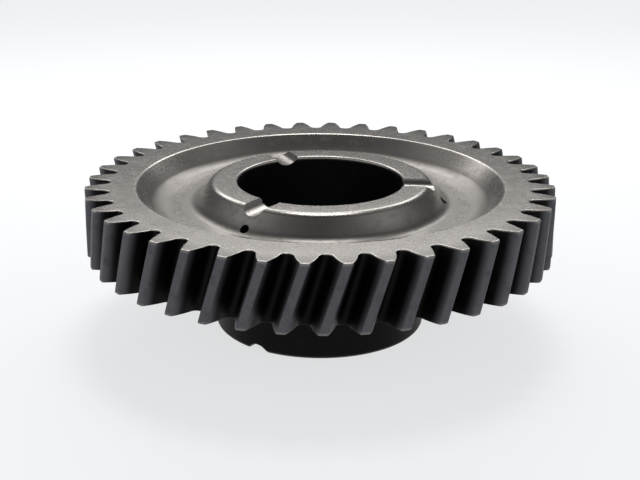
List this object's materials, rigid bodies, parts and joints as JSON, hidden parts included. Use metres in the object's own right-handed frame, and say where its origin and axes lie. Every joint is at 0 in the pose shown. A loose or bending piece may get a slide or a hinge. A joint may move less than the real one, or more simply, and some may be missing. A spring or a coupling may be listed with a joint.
{
  "type": "transmission gear",
  "caption": "Helical transmission gear with a recessed web, a plain bore and a long hub with oil grooves across both end faces.",
  "frame": {"origin": "centre of the hub's lower end face, on the bore axis", "axes": "+Z along the bore axis, from the long end of the hub towards the toothed rim; +X along the first oil groove"},
  "size_m": [0.1096, 0.1096, 0.0351],
  "materials": {
    "steel": "satin, turned and hobbed"
  },
  "bodies": {
    "root": {"helical_gear": "steel"}
  },
  "joints": []
}
